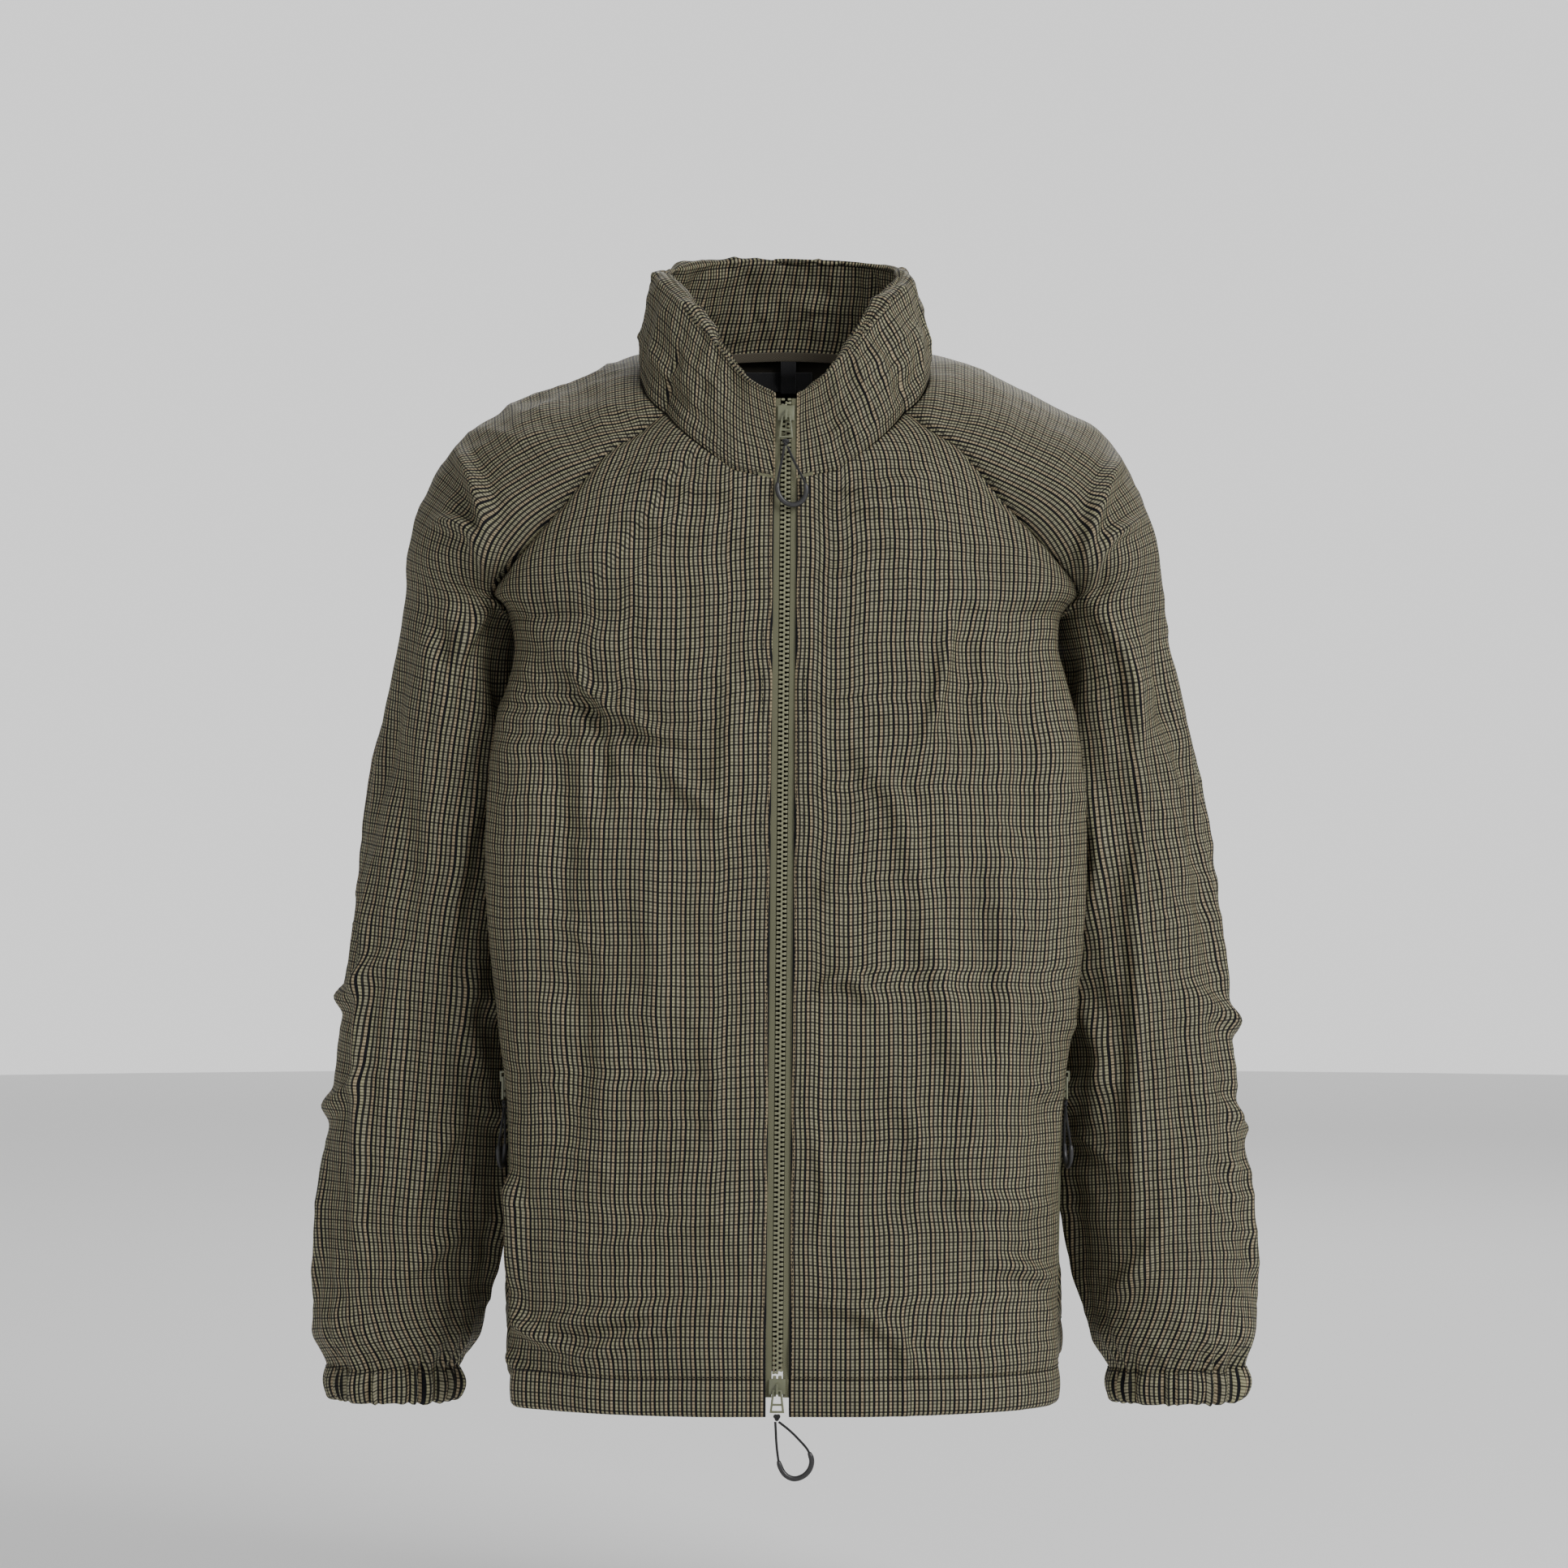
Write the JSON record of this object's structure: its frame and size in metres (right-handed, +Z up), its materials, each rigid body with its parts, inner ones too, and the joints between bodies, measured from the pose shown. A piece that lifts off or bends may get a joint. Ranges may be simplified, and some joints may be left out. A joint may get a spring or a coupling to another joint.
{
  "type": "zip jacket",
  "caption": "Boxy zip-front jacket in micro-check cloth with raglan sleeves, puffy stand collar, elastic cuffs, corded hem and zipped side pockets.",
  "frame": {"origin": "centre of the neck opening at the height of the side neck seam", "axes": "+Z up, the front faces -Y, +X is the wearer's left"},
  "size_m": [0.6352, 0.2598, 0.8157],
  "materials": {
    "check_cloth": "micro-check plain weave, dark lines on olive beige",
    "lining_cloth": "plain lining, matte",
    "olive_tape": "herringbone woven tape",
    "zip_plastic": "moulded teeth, satin gloss",
    "painted_metal": "olive enamel, semi-gloss",
    "black_cord": "braided cord",
    "grip_rubber": "smooth tube",
    "black_webbing": "ribbed webbing",
    "elastic": "woven elastic"
  },
  "bodies": {
    "root": {"front_panel_left": "check_cloth", "front_panel_right": "check_cloth", "side_panel_left": "check_cloth", "side_panel_right": "check_cloth", "back_panel": "check_cloth", "shoulder_left": "check_cloth", "shoulder_right": "check_cloth", "collar_outer": "check_cloth", "collar_inner": "check_cloth", "stowed_hood": "lining_cloth", "neck_tape": "olive_tape", "neck_label": "black_webbing", "hanger_loop": "black_webbing", "front_facing_left": "lining_cloth", "front_facing_right": "lining_cloth", "pocket_bag_left": "lining_cloth", "pocket_bag_right": "lining_cloth", "hem_front_left": "check_cloth", "hem_front_right": "check_cloth", "hem_back": "check_cloth", "hem_drawcord": "black_cord", "hem_cord_tab": "black_webbing", "zip_tape_left": "olive_tape", "zip_tape_right": "olive_tape", "zip_teeth_left": "zip_plastic", "zip_teeth_right": "zip_plastic", "zip_top_stop_left": "zip_plastic", "zip_top_stop_right": "zip_plastic", "zip_insertion_pin": "zip_plastic", "zip_retaining_pin": "zip_plastic", "pocket_zip_left": "olive_tape", "pocket_zip_right": "olive_tape"},
    "top_slider_body": {"top_slider": "painted_metal"},
    "top_pull_body": {"top_pull": "painted_metal", "top_knot": "black_cord", "top_cord": "black_cord", "top_grip": "grip_rubber"},
    "foot_slider_body": {"foot_slider": "painted_metal"},
    "foot_pull_body": {"foot_pull": "painted_metal", "foot_knot": "black_cord", "foot_cord": "black_cord", "foot_grip": "grip_rubber"},
    "pocket_left_slider_body": {"pocket_left_slider": "painted_metal"},
    "pocket_left_pull_body": {"pocket_left_pull": "painted_metal", "pocket_left_knot": "black_cord", "pocket_left_cord": "black_cord", "pocket_left_grip": "grip_rubber"},
    "pocket_right_slider_body": {"pocket_right_slider": "painted_metal"},
    "pocket_right_pull_body": {"pocket_right_pull": "painted_metal", "pocket_right_knot": "black_cord", "pocket_right_cord": "black_cord", "pocket_right_grip": "grip_rubber"},
    "sleeve_left_body": {"sleeve_left": "check_cloth", "cuff_left": "check_cloth", "cuff_elastic_left": "elastic"},
    "sleeve_right_body": {"sleeve_right": "check_cloth", "cuff_right": "check_cloth", "cuff_elastic_right": "elastic"}
  },
  "joints": [
    {"name": "top_slider_slide", "type": "slide", "parent": "root", "child": "top_slider_body", "axis": [-0.0092, -0.0809, -0.9967], "range_m": [0, 0.42]},
    {"name": "top_pull_swing", "type": "hinge", "parent": "top_slider_body", "child": "top_pull_body", "pos_m": [0.00087, -0.09571, -0.04225], "axis": [-1, 0, 0.0092], "range_deg": [0, 150]},
    {"name": "foot_slider_slide", "type": "slide", "parent": "root", "child": "foot_slider_body", "axis": [0.0092, 0.0809, 0.9967], "range_m": [0, 0.13]},
    {"name": "foot_pull_swing", "type": "hinge", "parent": "foot_slider_body", "child": "foot_pull_body", "pos_m": [-0.00496, -0.14718, -0.67631], "axis": [-1, 0, 0.0092], "range_deg": [0, 150]},
    {"name": "pocket_left_slide", "type": "slide", "parent": "root", "child": "pocket_left_slider_body", "axis": [-0.0237, -0.0358, -0.9991], "range_m": [0, 0.13]},
    {"name": "pocket_left_pull_swing", "type": "hinge", "parent": "pocket_left_slider_body", "child": "pocket_left_pull_body", "pos_m": [0.18836, -0.03792, -0.48064], "axis": [0.17, -0.9849, 0.0313], "range_deg": [0, 25]},
    {"name": "sleeve_left_swing", "type": "hinge", "parent": "root", "child": "sleeve_left_body", "pos_m": [0.258, 0.024, -0.1605], "axis": [0, -1, 0], "range_deg": [0, 40]},
    {"name": "pocket_right_slide", "type": "slide", "parent": "root", "child": "pocket_right_slider_body", "axis": [0.0237, -0.0358, -0.9991], "range_m": [0, 0.13]},
    {"name": "pocket_right_pull_swing", "type": "hinge", "parent": "pocket_right_slider_body", "child": "pocket_right_pull_body", "pos_m": [-0.18836, -0.03792, -0.48064], "axis": [0.17, 0.9849, -0.0313], "range_deg": [0, 25]},
    {"name": "sleeve_right_swing", "type": "hinge", "parent": "root", "child": "sleeve_right_body", "pos_m": [-0.258, 0.024, -0.1605], "axis": [0, 1, 0], "range_deg": [0, 40]}
  ]
}
